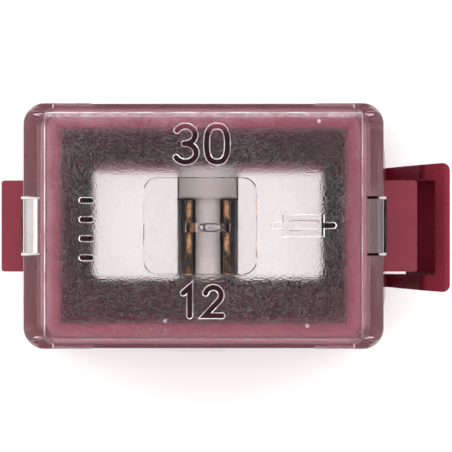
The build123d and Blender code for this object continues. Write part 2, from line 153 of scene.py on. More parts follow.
class FuseColours(bpy.types.PropertyGroup):
    """Base colours of the finishes, linear."""

    maroon: FloatVectorProperty(
        name="Maroon", description="Housing plastic", subtype="COLOR", size=3,
        min=0, max=1, default=(0.185, 0.012, 0.027))
    # Painted light: the neck's top drawn pale.
    rim: FloatVectorProperty(
        name="Rim", description="Scuffed outer edge of the neck's top", subtype="COLOR",
        size=3, min=0, max=1, default=(0.36, 0.135, 0.175))
    # Painted light, weaker, for the inner part of the neck's top.
    rim_inside: FloatVectorProperty(
        name="Rim inside", description="Inner edge of the neck's top", subtype="COLOR",
        size=3, min=0, max=1, default=(0.225, 0.018, 0.05))
    # Painted light: a lighter copy of the maroon, for the ledge and the latch's arm at +Y.
    ledge: FloatVectorProperty(
        name="Ledge", description="Ledge under the cover's rim", subtype="COLOR", size=3,
        min=0, max=1, default=(0.27, 0.016, 0.05))
    # Painted light: a lighter copy of the maroon inside the neck.
    chamber: FloatVectorProperty(
        name="Chamber", description="Walls and floor inside the neck", subtype="COLOR", size=3,
        min=0, max=1, default=(0.40, 0.02, 0.11))
    # Painted light: a lighter copy of the maroon on the latch's inner faces.
    pocket: FloatVectorProperty(
        name="Pocket", description="Inner faces of the latch", subtype="COLOR", size=3,
        min=0, max=1, default=(0.50, 0.031, 0.08))
    clear: FloatVectorProperty(
        name="Clear", description="Tint of the clear plastic", subtype="COLOR", size=3,
        min=0, max=1, default=(0.99, 0.972, 0.978))
    # Painted reflection of the maroon around the tongue beside the latch.
    maroon_reflection: FloatVectorProperty(
        name="Blush", description="Tint of the tongue beside the latch", subtype="COLOR",
        size=3, min=0, max=1, default=(0.9, 0.62, 0.70))
    # Painted shade for the cover's corners, ends and slope at +Y.
    shade: FloatVectorProperty(
        name="Shade", description="Tint of the cover's corners, ends and slope", subtype="COLOR",
        size=3, min=0, max=1, default=(0.55, 0.28, 0.36))
    tin: FloatVectorProperty(
        name="Tin", description="Tin plating", subtype="COLOR", size=3,
        min=0, max=1, default=(0.90, 0.88, 0.875))
    copper: FloatVectorProperty(
        name="Copper", description="Bare copper alloy at sheared edges", subtype="COLOR",
        size=3, min=0, max=1, default=(0.82, 0.43, 0.20))
    tarnish: FloatVectorProperty(
        name="Tarnish", description="Dull sheared edges", subtype="COLOR", size=3,
        min=0, max=1, default=(0.055, 0.042, 0.038))
    insulator: FloatVectorProperty(
        name="Insulator", description="Pale heat-resistant plastic", subtype="COLOR", size=3,
        min=0, max=1, default=(0.90, 0.88, 0.865))
    steel: FloatVectorProperty(
        name="Steel", description="Spring strip", subtype="COLOR", size=3,
        min=0, max=1, default=(0.56, 0.56, 0.57))
    floor: FloatVectorProperty(
        name="Floor", description="Studio floor", subtype="COLOR", size=3,
        min=0, max=1, default=(0.80, 0.80, 0.80))


class StudioSettings(bpy.types.PropertyGroup):
    """Camera, floor and lights."""

    view_width: FloatProperty(
        name="View width", description="Width of the view at the cover's top, mm",
        default=29.55, min=1)
    view_x: FloatProperty(
        name="View centre", description="Where the camera stands along X, mm", default=1.47)
    lens: FloatProperty(
        name="Focal length", description="Long lens, mm", default=1600.0, min=50, max=1700)
    floor_radius: FloatProperty(
        name="Floor radius", description="Radius of the round floor, m", default=1.0, min=0.1,
        unit="LENGTH")
    opening: FloatProperty(
        name="Opening", description="Brightness of the opening straight above, for the camera",
        default=0.16, min=0)
    surround: FloatProperty(
        name="Surrounding light", description="Brightness of the tent round the opening",
        default=1.55, min=0)
    fall_off: FloatProperty(
        name="Fall-off", description="How much darker the tent is towards +X and -Y",
        default=0.2, min=0, max=1)
    panel_power: FloatProperty(
        name="Panel power", description="Power of each soft panel", default=0.8, min=0,
        unit="POWER")


# ---------------------------------------------------------------- surfaces

def points_of(mesh):
    """The mesh's points as an array of shape (points, 3), in metres."""
    points = np.empty(len(mesh.vertices) * 3)
    mesh.vertices.foreach_get("co", points)
    return points.reshape(-1, 3)


def ledge_height():
    """The housing's ledge, where the cover's rim stands: the cover's lowest crowded level, in mm.

    The levels of the cover's points are counted from 3 mm above its tongues' tips, and the
    lowest one that at least 8 points share is the rim.
    """
    level = np.round(points_of(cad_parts["cover"].data)[:, 2] / MM, 3)
    levels, counts = np.unique(level[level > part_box("cover")[0].z / MM + 3], return_counts=True)
    return levels[counts >= 8].min()


LEDGE = ledge_height()


def welded(name, points, faces, outwards=False):
    """An object from points in metres and faces, with the points that coincide merged.

    Where outwards is true, the faces are turned so that they point outwards.
    """
    mesh = bpy.data.meshes.new(name)
    mesh.from_pydata(points.tolist(), [], faces.tolist())
    work = bmesh.new()
    work.from_mesh(mesh)
    bmesh.ops.remove_doubles(work, verts=work.verts, dist=WELD * MM)
    if outwards:
        bmesh.ops.recalc_face_normals(work, faces=work.faces)
    work.to_mesh(mesh)
    work.free()
    made = bpy.data.objects.new(name, mesh)
    bpy.context.scene.collection.objects.link(made)
    return made


def mesh_object(name, grids):
    """One closed object from point grids of shape (rows, columns, 3) in millimetres.

    Each grid comes with two flags that say whether its rows and its columns wrap round. Every cell
    (i, j) becomes the face (i, j), (i, j+1), (i+1, j+1), (i+1, j). Points that coincide are
    merged, and the faces are turned outwards.
    """
    points, faces, start = [], [], 0
    for grid, wrap_rows, wrap_columns in grids:
        rows, columns = grid.shape[:2]
        index = start + np.arange(rows * columns).reshape(rows, columns)
        if wrap_rows:
            index = np.vstack([index, index[:1]])
        if wrap_columns:
            index = np.hstack([index, index[:, :1]])
        cells = np.stack([index[:-1, :-1], index[:-1, 1:], index[1:, 1:], index[1:, :-1]], -1)
        faces.append(cells.reshape(-1, 4))
        points.append(grid.reshape(-1, 3))
        start += rows * columns
    return welded(name, np.vstack(points) * MM, np.vstack(faces), outwards=True)


def solid_copy(node, name):
    """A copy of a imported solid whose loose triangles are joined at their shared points."""
    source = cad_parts[node].data
    source.calc_loop_triangles()
    corners = np.empty(len(source.loop_triangles) * 3, np.int64)
    source.loop_triangles.foreach_get("vertices", corners)
    return welded(name, points_of(source), corners.reshape(-1, 3))


def ease_rim(cover, play):
    """Lifts the points of the cover's rim by the play, so that light passes under it.

    The rim is every point at the height of the housing's ledge: there z becomes z + play.
    """
    points = points_of(cover.data)
    points[np.abs(points[:, 2] / MM - LEDGE) < 0.002, 2] += play * MM
    cover.data.vertices.foreach_set("co", points.ravel())
    cover.data.update()


def join_solid(body, raised):
    """The raised solid becomes part of the body: their exact union. The raised one is used up."""
    def reach(mesh):
        """How far a mesh reaches towards -X, -Y, -Z, X, Y and Z."""
        points = points_of(mesh)
        return np.concatenate([-points.min(0), points.max(0)])

    before, faces = reach(body.data), len(body.data.polygons)
    union = body.modifiers.new("union", "BOOLEAN")
    union.operation, union.solver, union.object = "UNION", "EXACT", raised
    bpy.context.view_layer.update()
    found = bpy.data.meshes.new_from_object(
        body.evaluated_get(bpy.context.evaluated_depsgraph_get()))
    body.modifiers.clear()
    body.data = found
    bpy.data.objects.remove(raised)
    if len(found.polygons) <= faces or (reach(found) < before - 0.001 * MM).any():
        raise RuntimeError("the raised marks did not join the clear cover")


def crisp(made, angle):
    """Smooth shading, with edges sharper than the angle kept sharp."""
    made.data.shade_smooth()
    made.data.set_sharp_from_angle(angle=math.radians(angle))


def mitred_normals(path, closed):
    """Sideways directions along a path, stretched at corners so that offsets stay parallel.

    At each point the normals of the run before and the run after are added, and the sum is
    divided by 1 + their dot product, so its length is 1 over the cosine of half the turn. The
    divisor is never under a third, which blunts very sharp corners.
    """
    ahead = np.roll(path, -1, 0) - path
    if not closed:
        ahead[-1] = ahead[-2]
    ahead /= np.linalg.norm(ahead, axis=1, keepdims=True)
    after = np.stack([-ahead[:, 1], ahead[:, 0]], 1)
    before = np.roll(after, 1, 0)
    if not closed:
        before[0] = after[0]
    return (before + after) / np.maximum(1 + (before * after).sum(1, keepdims=True), 1 / 3)


def raised_stroke(path, closed, marks, plate):
    """A flat-topped ridge with sloping sides, carried along a path on the plate.

    An open ridge is a loop round its path: out along one side, half a turn round the end, back
    along the other side and half a turn round the start. Each ring of the loop stands at a
    distance r from the path and a height z: r and z run (0, top), (half - shoulder, top),
    (half + shoulder / 3, foot), (0, foot). The foot lies a third of the rise under the plate, so
    the sloping side meets the plate at half the stroke's width. A closed ridge is the
    four-cornered profile swept round the path.
    """
    narrow = marks.stroke / 2 - marks.shoulder
    wide = marks.stroke / 2 + marks.shoulder / 3
    top, foot = plate + marks.rise, plate - marks.rise / 3
    normal = mitred_normals(path, closed)
    if closed:
        offset = np.array([-wide, -narrow, narrow, wide])
        height = np.array([foot, top, top, foot])
        spine, side = path, normal
    else:
        turn = np.linspace(0, np.pi, 13)[1:-1]
        out = normal[-1] / np.linalg.norm(normal[-1])
        home = -normal[0] / np.linalg.norm(normal[0])

        def swing(start):
            """The start direction turned clockwise through half a turn."""
            quarter = np.array([start[1], -start[0]])
            return np.cos(turn)[:, None] * start + np.sin(turn)[:, None] * quarter

        spine = np.vstack([path, np.repeat(path[-1:], len(turn), 0), path[::-1],
                           np.repeat(path[:1], len(turn), 0)])
        side = np.vstack([normal, swing(out), -normal[::-1], swing(home)])
        offset = np.array([0, narrow, wide, 0])
        height = np.array([top, top, foot, foot])
    rings = spine[None] + offset[:, None, None] * side[None]
    level = np.broadcast_to(height[:, None, None], rings.shape[:2] + (1,))
    return np.concatenate([rings, level], -1), closed, True


def arc(middle, radii, start, end, count=28):
    """Points on part of an ellipse, from one angle to another in degrees."""
    angle = np.radians(np.linspace(start, end, count))
    return np.stack([middle[0] + radii[0] * np.cos(angle),
                     middle[1] + radii[1] * np.sin(angle)], 1)


def squared(wave, squareness):
    """A sine or a cosine raised to 2 / squareness with its sign kept, for a superellipse."""
    return np.sign(wave) * np.abs(wave) ** (2 / squareness)


def ring(middle, radii, squareness=2.6, count=56):
    """A closed superellipse: cosine and sine raised to 2 / squareness, with their signs."""
    angle = np.linspace(0, 2 * np.pi, count, endpoint=False)
    return np.stack([middle[0] + radii[0] * squared(np.cos(angle), squareness),
                     middle[1] + radii[1] * squared(np.sin(angle), squareness)], 1)


def digit_strokes(digit):
    """The centre lines of a digit, one high and centred: a list of (points, closed)."""
    bowl = (0.27, 0.245)
    shapes = {
        "0": [(ring((0, 0), (0.29, 0.5)), True)],
        "1": [(np.array([(-0.2, 0.3), (0.03, 0.5), (0.03, -0.5)]), False)],
        "2": [(np.vstack([arc((0, 0.22), (0.28, 0.28), 165, -38),
                          [(-0.29, -0.5), (0.31, -0.5)]]), False)],
        "3": [(arc((-0.02, 0.255), bowl, 150, -95), False),
              (arc((-0.02, -0.245), (0.3, 0.255), 95, -150), False)],
        "4": [(np.array([(0.1, 0.5), (-0.32, -0.2), (0.34, -0.2)]), False),
              (np.array([(0.16, 0.1), (0.16, -0.5)]), False)],
        "5": [(np.vstack([[(0.27, 0.5), (-0.24, 0.5), (-0.27, 0.06)],
                          arc((-0.01, -0.2), (0.3, 0.3), 115, -150)]), False)],
        "6": [(ring((0, -0.2), (0.28, 0.3), 2.1), True),
              (arc((0.24, -0.2), (0.52, 0.7), 172, 92), False)],
        "7": [(np.array([(-0.29, 0.5), (0.29, 0.5), (-0.08, -0.5)]), False)],
        "8": [(ring((0, 0.26), (0.25, 0.24), 2.1), True),
              (ring((0, -0.23), (0.29, 0.27), 2.1), True)],
        "9": [(ring((0, 0.2), (0.28, 0.3), 2.1), True),
              (arc((-0.24, 0.2), (0.52, 0.7), -8, -88), False)],
    }
    if digit not in shapes:
        raise ValueError(f"the cover's numbers hold digits only, not {digit!r}")
    return shapes[digit]


def number_strokes(text, middle, height):
    """Strokes of a row of digits, placed round a middle point: a list of lists, one per digit."""
    pitch = 0.86 * height
    first = -(len(text) - 1) / 2
    placed = []
    for place, digit in enumerate(text):
        shift = np.array([middle[0] + (first + place) * pitch, middle[1]])
        placed.append([(points * height + shift, closed)
                       for points, closed in digit_strokes(digit)])
    return placed


def fuse_symbol(middle):
    """The drawing sign for a fuse: a box with a line through it."""
    box = np.array([(-1.15, -0.52), (1.15, -0.52), (1.15, 0.52), (-1.15, 0.52)])
    line = np.array([(-1.95, 0.0), (1.95, 0.0)])
    return [[(box + middle, True), (line + middle, False)]]


def plain_dots(middle, count, pitch):
    """Short upright ridges in a column, such as moulders use to tell cavities apart."""
    rows = (np.arange(count) - (count - 1) / 2) * pitch
    return [[(np.array([(-0.3, y), (0.3, y)]) + middle, False)] for y in rows]


def pip(middle, radius, marks, plate):
    """A small dome on the plate: rings r = radius sin(a), z = rise cos(a) up to a quarter turn."""
    swing = np.append(np.linspace(0, np.pi / 2, 5), np.pi / 2)[:, None]
    angle = np.linspace(0, 2 * np.pi, 14, endpoint=False)[None]
    level = plate + marks.rise * np.cos(swing)
    level[-1] = plate - marks.rise
    dome = np.stack(np.broadcast_arrays(
        middle[0] + radius * np.sin(swing) * np.cos(angle),
        middle[1] + radius * np.sin(swing) * np.sin(angle), level), -1)
    bottom = dome[-1:].copy()
    bottom[..., :2] = middle
    return np.concatenate([dome, bottom]), False, True


def tin_puddle():
    """The tin on the link, a low rounded puddle with a crease across it.

    With r from 0 to 1 and an angle round the middle, the plan is a superellipse scaled by r and
    the height is the square root of 1 - r squared. Both dip at the crease by a bell curve, the
    exponential of minus the square of the distance from the crease over its width. The puddle
    is also narrower towards both ends and lower towards +X.
    """
    crease, width, squareness = -0.49, 0.07, 2.7
    half = (TIN_HIGH - TIN_LOW) / 2
    middle = (TIN_HIGH + TIN_LOW) / 2
    radius = np.sin(np.linspace(0, np.pi / 2, 15))[:, None]
    angle = np.linspace(0, 2 * np.pi, 72, endpoint=False)[None]
    x = radius * squared(np.cos(angle), squareness)
    y = radius * squared(np.sin(angle), squareness)
    dip = np.exp(-((x - crease) / width) ** 2)
    y = y * (1 - 0.20 * dip - 0.12 * x ** 2)
    z = np.sqrt(np.clip(1 - radius ** 2, 0, 1)) * (1 - 0.7 * dip) * (0.8 - 0.2 * x)
    flat = np.stack(np.broadcast_arrays(
        middle[0] + half[0] * x, middle[1] + half[1] * y, TIN_LOW[2] + 0 * z), -1)
    top = flat.copy()
    top[..., 2] = TIN_LOW[2] + 2 * half[2] * z
    return [(np.concatenate([top, flat[-2::-1]]), False, True)]


# ---------------------------------------------------------------- node helpers

def new_finish(name):
    """A material with a bare Principled shader. Gives the material, its tree and the shader."""
    material = bpy.data.materials.new(name)
    material.use_nodes = True
    tree = material.node_tree
    tree.nodes.clear()
    output = tree.nodes.new("ShaderNodeOutputMaterial")
    shader = tree.nodes.new("ShaderNodeBsdfPrincipled")
    tree.links.new(shader.outputs["BSDF"], output.inputs["Surface"])
    return material, tree, shader


def fill(tree, socket, value):
    """Puts a value, a colour or another node's output into a socket."""
    if isinstance(value, bpy.types.NodeSocket):
        tree.links.new(value, socket)
    elif hasattr(value, "__len__") and len(value) == 3 and socket.type == "RGBA":
        socket.default_value = (*value, 1)
    else:
        socket.default_value = value


def maths(tree, operation, *values):
    """One Math node."""
    node = tree.nodes.new("ShaderNodeMath")
    node.operation = operation
    for socket, value in zip(node.inputs, values):
        fill(tree, socket, value)
    return node.outputs[0]


def product(tree, *values):
    """All the values multiplied."""
    return reduce(lambda first, second: maths(tree, "MULTIPLY", first, second), values)


def greatest(tree, *values):
    """The greatest of the values."""
    return reduce(lambda first, second: maths(tree, "MAXIMUM", first, second), values)


def distance(tree, value, middle=0.0):
    """How far a value is from a middle, without a sign."""
    return maths(tree, "ABSOLUTE", maths(tree, "SUBTRACT", value, middle))


def ramp(tree, value, low, high, bottom=0.0, top=1.0):
    """A smooth step: bottom where value is under low, top where it is over high."""
    node = tree.nodes.new("ShaderNodeMapRange")
    node.interpolation_type = "SMOOTHSTEP"
    for key, given in zip(("Value", "From Min", "From Max", "To Min", "To Max"),
                          (value, low, high, bottom, top)):
        fill(tree, node.inputs[key], given)
    return node.outputs["Result"]


def fall(tree, value, low, high):
    """A smooth step down: 1 where value is under low, 0 where it is over high."""
    return ramp(tree, value, low, high, 1.0, 0.0)


def hill(tree, value, up, down):
    """0, then 1 between the two pairs, then 0 again: a step up over up and down over down."""
    return product(tree, ramp(tree, value, *up), fall(tree, value, *down))


def near(tree, value, middle, flat, foot):
    """1 within flat of the middle, 0 beyond foot from it."""
    return hill(tree, value, (middle - foot, middle - flat), (middle + flat, middle + foot))


def under(level, drops):
    """Two heights, each a drop under a level."""
    return tuple(level - drop for drop in drops)


def times(colour, share):
    """A colour with its three parts multiplied by a share."""
    return tuple(share * part for part in colour)


def blend(tree, share, first, second):
    """The first colour where share is 0, the second where it is 1."""
    node = tree.nodes.new("ShaderNodeMix")
    node.data_type = "RGBA"
    fill(tree, node.inputs["Factor"], share)
    fill(tree, node.inputs["A"], first)
    fill(tree, node.inputs["B"], second)
    return node.outputs["Result"]


def in_millimetres(tree, stretch=(1, 1, 1)):
    """The piece's own coordinates in millimetres, stretched along each axis."""
    where = tree.nodes.new("ShaderNodeTexCoord")
    scale = tree.nodes.new("ShaderNodeMapping")
    scale.inputs["Scale"].default_value = [part / MM for part in stretch]
    tree.links.new(where.outputs["Object"], scale.inputs["Vector"])
    return scale.outputs["Vector"]


def axes(tree, vector):
    """X, Y and Z of a vector."""
    node = tree.nodes.new("ShaderNodeSeparateXYZ")
    tree.links.new(vector, node.inputs[0])
    return node.outputs


def direction(tree):
    """X, Y and Z of the way that the surface faces."""
    return axes(tree, tree.nodes.new("ShaderNodeTexCoord").outputs["Normal"])


def noise(tree, vector, scale, detail=2.0, roughness=0.5):
    """Smooth noise from 0 to 1, scale cells to the millimetre."""
    node = tree.nodes.new("ShaderNodeTexNoise")
    for key, given in zip(("Vector", "Scale", "Detail", "Roughness"),
                          (vector, scale, detail, roughness)):
        fill(tree, node.inputs[key], given)
    return node.outputs["Fac"]


def bump(tree, height, depth, strength=1.0, base=None):
    """A bumped normal, on top of a base one. depth is in millimetres for a height from 0 to 1."""
    node = tree.nodes.new("ShaderNodeBump")
    fill(tree, node.inputs["Height"], height)
    fill(tree, node.inputs["Strength"], strength)
    node.inputs["Distance"].default_value = depth * MM
    if base is not None:
        tree.links.new(base, node.inputs["Normal"])
    return node.outputs["Normal"]


def dress(piece, material):
    """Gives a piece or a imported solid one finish."""
    piece.data.materials.clear()
    piece.data.materials.append(material)


# ---------------------------------------------------------------- finishes

def clear_plastic(colours, marks):
    """Clear moulding: spark texture on the plate, polished lens, marks and sides.

    Painted highlights: the narrow rounded edges of the plate and of the marks, the lens's short
    edges and a streaky band at +Y turn cloudy, so that they show pale. Painted light from below
    makes the roots of the tongues cloudy too, the one at -X most. The high spots of the spark
    texture are slightly cloudy. Painted shade darkens the corners, the ends, the slope at +Y and
    the lens's long edges, and a painted reflection gives the tongue at +X the maroon of the latch.
    """
    material, tree, shader = new_finish("clear_plastic")
    place = in_millimetres(tree)
    across, along, height = axes(tree, place)
    _, facing_y, facing_z = direction(tree)
    upwards, sideways = distance(tree, facing_z), ramp(tree, distance(tree, facing_y), 0.15, 0.3)
    plate = COVER_TOP - marks.lens_rise
    on_plate = near(tree, height, plate, 0.005, 0.02)

    # Painted highlights: tilted faces near the plate's top (its creases, the marks' sides and the
    # lens's short edges) turn cloudy, unevenly, and show as pale lines.
    tilted = hill(tree, upwards, (0.45, 0.55), (0.94, 0.985))
    uneven_highlight = ramp(tree, noise(tree, place, 0.7), 0.35, 0.65, 0.35, 1.0)
    crest = product(tree, ramp(tree, height, *under(plate, CREST_DROP)), uneven_highlight,
                    ramp(tree, along, *LOWER_CREASE_Y, 0.3, 1.0),
                    ramp(tree, across, *RIGHT_END_X, 1.0, 0.65))
    off_lens = greatest(tree, ramp(tree, distance(tree, across), *LENS_X),
                        ramp(tree, distance(tree, along), *LENS_Y))
    painted_highlights = product(tree, tilted, crest,
                    greatest(tree, off_lens, ramp(tree, sideways, 0.0, 1.0, 0.8, 0.0)))

    pebbles = ramp(tree, noise(tree, place, 6.0, 1.0), 0.44, 0.62, 0.0, 0.15)
    haze = ramp(tree, noise(tree, place, 0.35), 0.45, 0.65, 0.0, 0.04)
    grain = product(tree, on_plate, maths(tree, "ADD", pebbles, haze))
    # Painted highlight: a streaky cloudy band at +Y, along the crease.
    streaks = ramp(tree, noise(tree, place, 3.0, 3.0, 0.65), 0.3, 0.7, 0.25, 0.6)
    streaky_highlight = product(tree, on_plate, streaks, ramp(tree, along, *HIGHLIGHT_BAND_Y))

    in_tongue = product(tree, fall(tree, distance(tree, along), *TONGUE_Y),
                        ramp(tree, height, *under(plate, TONGUE_DROP)))
    past_root = ramp(tree, distance(tree, across), *TONGUE_X)
    at_right = ramp(tree, across, -1.0, 1.0)
    tongue = product(tree, in_tongue, past_root)
    # Painted reflection: the tongue at +X takes a maroon colour from the latch around it.
    right = product(tree, tongue, at_right)
    # Painted light from below: the tongues' roots turn cloudy, the one at -X most.
    tongue_light = product(tree, tongue, ramp(tree, at_right, 0.0, 1.0, 0.7, 0.26))

    # Painted shade on the corners, the ends and the slope at +Y, near the top of the walls.
    top = ramp(tree, height, *under(plate, SHADE_DROP))
    corner = product(tree, ramp(tree, distance(tree, across), *CORNER_X),
                     ramp(tree, distance(tree, along), *CORNER_Y))
    end = product(tree, ramp(tree, distance(tree, across), *END_X, 0.0, 0.6),
                  ramp(tree, distance(tree, along), *END_Y))
    slope = product(tree, hill(tree, along, SLOPE_Y, WALL_Y), 0.7)
    shaded = product(tree, top, greatest(tree, slope, corner, end))
    # Painted shade along the lens's long edges.
    lens_edge_shade = product(tree, tilted, sideways, fall(tree, off_lens, 0.0, 0.1))

    # The clear plastic's colour with the painted reflection and painted shade laid over it.
    tint_and_painted_light = blend(tree, right, colours.clear, colours.maroon_reflection)
    tint_and_painted_light = blend(tree, shaded, tint_and_painted_light, colours.shade)
    tint_and_painted_light = blend(tree, lens_edge_shade, tint_and_painted_light, times(colours.clear, 0.25))
    fill(tree, shader.inputs["Base Color"], tint_and_painted_light)
    shader.inputs["IOR"].default_value = 1.5
    fill(tree, shader.inputs["Transmission Weight"],
         ramp(tree, greatest(tree, painted_highlights, grain, streaky_highlight, tongue_light), 0.0, 1.0, 1.0, 0.62))
    fill(tree, shader.inputs["Roughness"], ramp(tree, on_plate, 0.0, 1.0, 0.02, 0.07))
    ripple = noise(tree, in_millimetres(tree, (1, 1, 0.25)), 0.9, 1.0)
    fill(tree, shader.inputs["Normal"],
         bump(tree, noise(tree, place, 8.0), 0.022, on_plate, bump(tree, ripple, 0.012, 0.5)))
    return material


def maroon_plastic(colours):
    """Moulded maroon plastic with a fine eroded texture and slight flow marks.

    The neck's top has painted light: paler outwards, towards +Y and -X and in blotches, with
    painted shade along its inner edge. The ledge, the chamber, the latch's hollow and its arm at
    +Y are painted lighter. The latch is more polished than the rest and has painted shade, and
    its finger pad has more of it towards the hollow.
    """
    material, tree, shader = new_finish("maroon_plastic")
    place = in_millimetres(tree)
    x, y, z = axes(tree, place)
    off_middle = distance(tree, y)
    grain = noise(tree, place, 7.5, 3.0, 0.6)
    flow = noise(tree, in_millimetres(tree, (0.5, 0.5, 0.16)), 1.1, 3.0, 0.6)
    plain = blend(tree, ramp(tree, flow, 0.32, 0.68), times(colours.maroon, 0.86), colours.maroon)

    outwards = greatest(tree, maths(tree, "SUBTRACT", distance(tree, x), CHAMBER_X),
                        maths(tree, "SUBTRACT", off_middle, CHAMBER_Y))
    uneven = maths(tree, "MULTIPLY_ADD", noise(tree, place, 0.4), 1.2, -0.6)
    slant = maths(tree, "MULTIPLY_ADD", x, -7 / 11, y)
    # Painted light on the neck's top: paler outwards and towards +Y and -X, in blotches.
    paler = product(tree, ramp(tree, slant, -3.5, 3.5, 0.35, 1.0),
                    ramp(tree, maths(tree, "ADD", outwards, uneven), 0.3, 1.1))
    crown = blend(tree, paler, colours.rim_inside, colours.rim)
    # Painted shade along the neck's inner edge.
    from_edge = ramp(tree, maths(tree, "MULTIPLY_ADD", uneven, 0.2, outwards), 0.0, 0.4)
    rim = blend(tree, from_edge, times(colours.maroon, 0.25), crown)

    on_pad = ramp(tree, x, *PAD_X)
    beside = product(tree, ramp(tree, x, *LATCH_X), ramp(tree, off_middle, *ARM_Y))
    polished = greatest(tree, beside, on_pad)
    # Painted shade on the finger pad, darker towards the hollow and towards its middle.
    pad_shade = product(tree, on_pad, fall(tree, x, *PAD_EDGE_X),
                      ramp(tree, off_middle, *PAD_END_Y, 0.92, 0.3))
    # Painted light: the ledge, the chamber, the latch's hollow and its arm at +Y get lighter copies
    # of the maroon.
    ledge = near(tree, z, LEDGE, 0.01, 0.03)
    chamber = product(tree, fall(tree, outwards, 0.02, 0.04), ramp(tree, z, *CHAMBER_Z))
    pocket = product(tree, fall(tree, direction(tree)["X"], -0.7, -0.5), on_pad,
                     fall(tree, off_middle, *ARM_Y))
    upper_arm = product(tree, beside, ramp(tree, y, 0.0, 1.0), fall(tree, x, *PAD_X))
    # The neck's top, where the painted light and shade of the rim go.
    on_neck_top = ramp(tree, z, *under(COVER_TOP, NECK_DROP))
    body = plain
    for share, colour in (
            # Painted shade: the polished latch drawn darker, its finger pad darker still.
            (polished, times(colours.maroon, 0.78)), (pad_shade, times(colours.maroon, 0.1)),
            (ledge, colours.ledge), (chamber, colours.chamber), (pocket, colours.pocket),
            (upper_arm, colours.ledge), (on_neck_top, rim)):
        body = blend(tree, share, body, colour)
    fill(tree, shader.inputs["Base Color"], body)

    matt = ramp(tree, grain, 0.3, 0.7, 0.42, 0.54)
    smoother = maths(tree, "MULTIPLY_ADD", polished, -0.2, matt)
    fill(tree, shader.inputs["Roughness"], maths(tree, "MULTIPLY_ADD", pocket, 0.3, smoother))
    fill(tree, shader.inputs["Specular IOR Level"], ramp(tree, polished, 0.0, 1.0, 0.42, 0.12))
    fill(tree, shader.inputs["Normal"], bump(tree, grain, 0.012, 0.6))
    return material


def tinned_copper(colours):
    """Tin plating with rolling lines. Sheared edges beside the link are dull, with copper patches.

    The link is smoother and darker, with copper at its root towards -X and tarnish at its other
    end. The gutters outside the plates are dark with painted shade, and the copper patches have
    painted shade, a darker brown, round their brighter cores.
    """
    material, tree, shader = new_finish("tinned_copper")
    place = in_millimetres(tree)
    x, y, z = axes(tree, place)
    aside, along = distance(tree, x, ELEMENT_X), distance(tree, y)
    cloud = noise(tree, place, 1.7, 3.0, 0.6)
    fleck = noise(tree, place, 4.2, 3.0, 0.65)
    rolled = noise(tree, in_millimetres(tree, (9.0, 0.35, 1.0)), 1.0)

    middle = fall(tree, aside, *PLATES_X)
    torn = product(tree, middle, fall(tree, z, *PLATE_EDGE_Z),
                   fall(tree, distance(tree, direction(tree)["X"]), 0.45, 0.6))
    span = hill(tree, along, (0.3, 0.75), (1.45, 1.85))
    core = ramp(tree, distance(tree, aside, PLATE_MIDDLE), 0.1, 0.24, 1.0, -1.2)
    uncovered = maths(tree, "MULTIPLY_ADD", product(tree, span, core), 0.24, fleck)
    # Copper patches, with painted shade as a darker brown round their brighter cores.
    patch_rim_shade, patch = ramp(tree, uncovered, 0.52, 0.64), ramp(tree, uncovered, 0.66, 0.78)
    edges = blend(tree, patch_rim_shade, colours.tarnish, times(colours.copper, 0.3))
    edges = blend(tree, patch, edges, times(colours.copper, 0.6))

    on_link = product(tree, ramp(tree, z, *LINK_Z), middle)
    link_ends = product(tree, on_link, ramp(tree, aside, *LINK_END_X))
    ends = blend(tree, fall(tree, x, *COPPER_ROOT_X), colours.tarnish,
                 times(colours.copper, 0.11))
    # Painted shade in the gutters between the plates and their roofs.
    gutter = product(tree, ramp(tree, z, *GUTTER_Z), hill(tree, aside, GUTTER_X, ROOF_X))
    skin = blend(tree, ramp(tree, cloud, 0.3, 0.7), times(colours.tin, 0.93), colours.tin)
    for share, colour in ((gutter, times(colours.tin, 0.3)), (on_link, times(colours.tin, 0.5)),
                          (torn, edges), (link_ends, ends)):
        skin = blend(tree, share, skin, colour)
    fill(tree, shader.inputs["Base Color"], skin)

    shader.inputs["Metallic"].default_value = 1.0
    rough = ramp(tree, cloud, 0.3, 0.7, 0.44, 0.52)
    smooth = greatest(tree, on_link, product(tree, torn, patch))
    fill(tree, shader.inputs["Roughness"], maths(tree, "MULTIPLY_ADD", smooth, -0.2, rough))
    fill(tree, shader.inputs["Normal"],
         bump(tree, rolled, 0.002, 0.5, bump(tree, fleck, 0.05, torn)))
    return material


def smooth_tin(colours):
    """Cast tin, cloudy grey and slightly rippled."""
    material, tree, shader = new_finish("smooth_tin")
    cloud = noise(tree, in_millimetres(tree), 3.0)
    fill(tree, shader.inputs["Base Color"],
         blend(tree, cloud, times(colours.tin, 0.25), times(colours.tin, 0.45)))
    shader.inputs["Metallic"].default_value = 1.0
    fill(tree, shader.inputs["Roughness"], ramp(tree, cloud, 0.3, 0.7, 0.3, 0.4))
    fill(tree, shader.inputs["Normal"], bump(tree, cloud, 0.006, 0.6))
    return material


def spring_steel(colours):
    """Rolled stainless strip with fine lines along its length."""
    material, tree, shader = new_finish("spring_steel")
    lines = noise(tree, in_millimetres(tree, (1.0, 14.0, 0.4)), 1.0)
    fill(tree, shader.inputs["Base Color"],
         blend(tree, lines, times(colours.steel, 0.85), colours.steel))
    shader.inputs["Metallic"].default_value = 1.0
    fill(tree, shader.inputs["Roughness"], ramp(tree, lines, 0.3, 0.7, 0.22, 0.36))
    fill(tree, shader.inputs["Normal"], bump(tree, lines, 0.003, 0.5))
    return material


